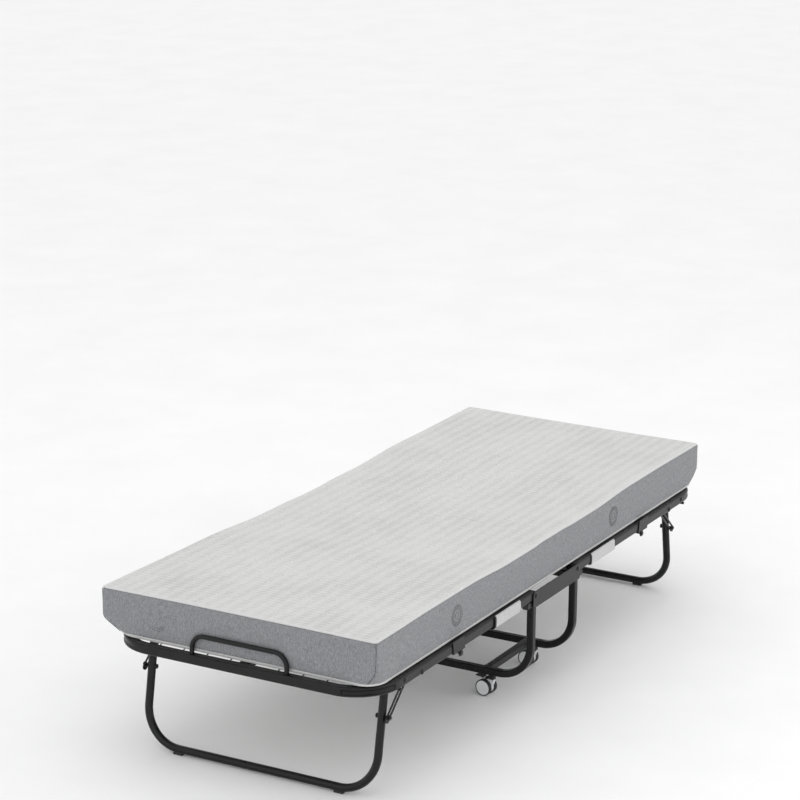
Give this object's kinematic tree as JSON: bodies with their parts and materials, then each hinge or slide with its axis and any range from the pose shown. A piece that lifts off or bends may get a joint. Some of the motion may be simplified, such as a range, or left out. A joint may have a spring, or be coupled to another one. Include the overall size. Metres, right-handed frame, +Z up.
{
  "type": "rollaway bed",
  "caption": "Folding rollaway bed: two mesh decks hinged to a wheeled centre base, hinged U-shaped end legs, and a foam mattress that folds up with the decks.",
  "frame": {"origin": "on the floor under the middle of the open bed", "axes": "+X towards the head end, +Y towards the far side, +Z up"},
  "size_m": [1.9488, 0.7972, 0.448],
  "materials": {
    "frame": "satin black powder coat",
    "mesh_wire": "satin black coated wire",
    "hardware": "black oxide",
    "hook_wire": "satin black",
    "black_plastic": "matte",
    "wheel_plastic": "satin",
    "caster_body": "satin",
    "mattress_fabric": "quilted knit",
    "strap_fabric": "soft loop fabric"
  },
  "bodies": {
    "center_base": {"near_side_plate": "frame", "far_side_plate": "frame", "foot_base_tube": "frame", "head_base_tube": "frame", "base_ties": "frame", "center_crossbars": "frame", "center_mesh": "mesh_wire", "rail_stops": "frame", "stop_plugs": "black_plastic", "hinge_bolts": "hardware", "base_bolts": "hardware", "mattress_core": "mattress_fabric"},
    "foot_deck": {"foot_end_bow": "frame", "foot_near_rail": "frame", "foot_far_rail": "frame", "foot_crossbars": "frame", "foot_center_bars": "frame", "foot_end_mesh": "mesh_wire", "foot_rail_mesh": "mesh_wire", "foot_joint_brackets": "frame", "foot_joint_knobs": "black_plastic", "foot_pivot_bolts": "hardware", "foot_leg_stops": "hardware", "foot_straps": "strap_fabric", "foot_mattress": "mattress_fabric", "foot_mattress_fold": "mattress_fabric", "mattress_retainer": "frame"},
    "head_deck": {"head_end_bow": "frame", "head_near_rail": "frame", "head_far_rail": "frame", "head_crossbars": "frame", "head_center_bars": "frame", "head_end_mesh": "mesh_wire", "head_rail_mesh": "mesh_wire", "head_joint_brackets": "frame", "head_joint_knobs": "black_plastic", "head_pivot_bolts": "hardware", "head_leg_stops": "hardware", "head_straps": "strap_fabric", "head_mattress": "mattress_fabric", "head_mattress_fold": "mattress_fabric"},
    "foot_leg_frame": {"foot_leg": "frame", "foot_leg_pads": "black_plastic"},
    "foot_brace_pair": {"foot_braces": "hardware", "foot_brace_bolts": "hardware"},
    "head_leg_frame": {"head_leg": "frame", "head_leg_pads": "black_plastic"},
    "head_brace_pair": {"head_braces": "hardware", "head_brace_bolts": "hardware"},
    "hook": {"lock_hook": "hook_wire"},
    "near_foot_swivel": {"near_foot_caster": "caster_body"},
    "near_foot_wheel_pair": {"near_foot_wheels": "wheel_plastic"},
    "far_foot_swivel": {"far_foot_caster": "caster_body"},
    "far_foot_wheel_pair": {"far_foot_wheels": "wheel_plastic"},
    "near_head_swivel": {"near_head_caster": "caster_body"},
    "near_head_wheel_pair": {"near_head_wheels": "wheel_plastic"},
    "far_head_swivel": {"far_head_caster": "caster_body"},
    "far_head_wheel_pair": {"far_head_wheels": "wheel_plastic"},
    "brake": {"brake_lever": "black_plastic"}
  },
  "joints": [
    {"name": "foot_fold", "type": "hinge", "parent": "center_base", "child": "foot_deck", "pos_m": [-0.126, 0, 0.3085], "axis": [0, 1, 0], "range_deg": [0, 88], "deforming": ["foot_mattress_fold"]},
    {"name": "foot_leg_fold", "type": "hinge", "parent": "foot_deck", "child": "foot_leg_frame", "pos_m": [-0.825, 0, 0.31], "axis": [0, -1, 0], "range_deg": [0, 92.9]},
    {"name": "foot_brace_fold", "type": "hinge", "parent": "foot_deck", "child": "foot_brace_pair", "pos_m": [-0.739, 0, 0.303], "axis": [0, -1, 0], "range_deg": [0, 116.9]},
    {"name": "head_fold", "type": "hinge", "parent": "center_base", "child": "head_deck", "pos_m": [0.126, 0, 0.3085], "axis": [0, -1, 0], "range_deg": [0, 88], "deforming": ["head_mattress_fold"]},
    {"name": "head_leg_fold", "type": "hinge", "parent": "head_deck", "child": "head_leg_frame", "pos_m": [0.825, 0, 0.31], "axis": [0, 1, 0], "range_deg": [0, 92.9]},
    {"name": "head_brace_fold", "type": "hinge", "parent": "head_deck", "child": "head_brace_pair", "pos_m": [0.739, 0, 0.303], "axis": [0, 1, 0], "range_deg": [0, 116.9]},
    {"name": "lock_hook_swing", "type": "hinge", "parent": "head_deck", "child": "hook", "pos_m": [0.9575, 0.09, 0.3085], "axis": [0, -1, 0], "range_deg": [0, 184]},
    {"name": "near_foot_swivel_turn", "type": "hinge", "parent": "center_base", "child": "near_foot_swivel", "pos_m": [-0.126, -0.2675, 0.06], "axis": [0, 0, 1], "continuous": true},
    {"name": "near_foot_wheel_spin", "type": "hinge", "parent": "near_foot_swivel", "child": "near_foot_wheel_pair", "pos_m": [-0.12381, -0.24963, 0.023], "axis": [0.9925, -0.1219, 0], "continuous": true},
    {"name": "far_foot_swivel_turn", "type": "hinge", "parent": "center_base", "child": "far_foot_swivel", "pos_m": [-0.126, 0.2675, 0.06], "axis": [0, 0, 1], "continuous": true},
    {"name": "far_foot_wheel_spin", "type": "hinge", "parent": "far_foot_swivel", "child": "far_foot_wheel_pair", "pos_m": [-0.12913, 0.28523, 0.023], "axis": [0.9848, 0.1736, 0], "continuous": true},
    {"name": "near_head_swivel_turn", "type": "hinge", "parent": "center_base", "child": "near_head_swivel", "pos_m": [0.126, -0.2675, 0.06], "axis": [0, 0, 1], "continuous": true},
    {"name": "near_head_wheel_spin", "type": "hinge", "parent": "near_head_swivel", "child": "near_head_wheel_pair", "pos_m": [0.12663, -0.24951, 0.023], "axis": [0.9994, -0.0349, 0], "continuous": true},
    {"name": "far_head_swivel_turn", "type": "hinge", "parent": "center_base", "child": "far_head_swivel", "pos_m": [0.126, 0.2675, 0.06], "axis": [0, 0, 1], "continuous": true},
    {"name": "far_head_wheel_spin", "type": "hinge", "parent": "far_head_swivel", "child": "far_head_wheel_pair", "pos_m": [0.13156, 0.28462, 0.023], "axis": [0.9511, -0.309, 0], "continuous": true},
    {"name": "brake_press", "type": "hinge", "parent": "near_foot_swivel", "child": "brake", "pos_m": [-0.12283, -0.24169, 0.05], "axis": [-0.9925, 0.1219, 0], "range_deg": [0, 18]}
  ],
  "couplings": [
    {"joint": "foot_brace_fold", "follows": "foot_leg_fold", "ratio": 1.2574},
    {"joint": "head_brace_fold", "follows": "head_leg_fold", "ratio": 1.2574}
  ]
}
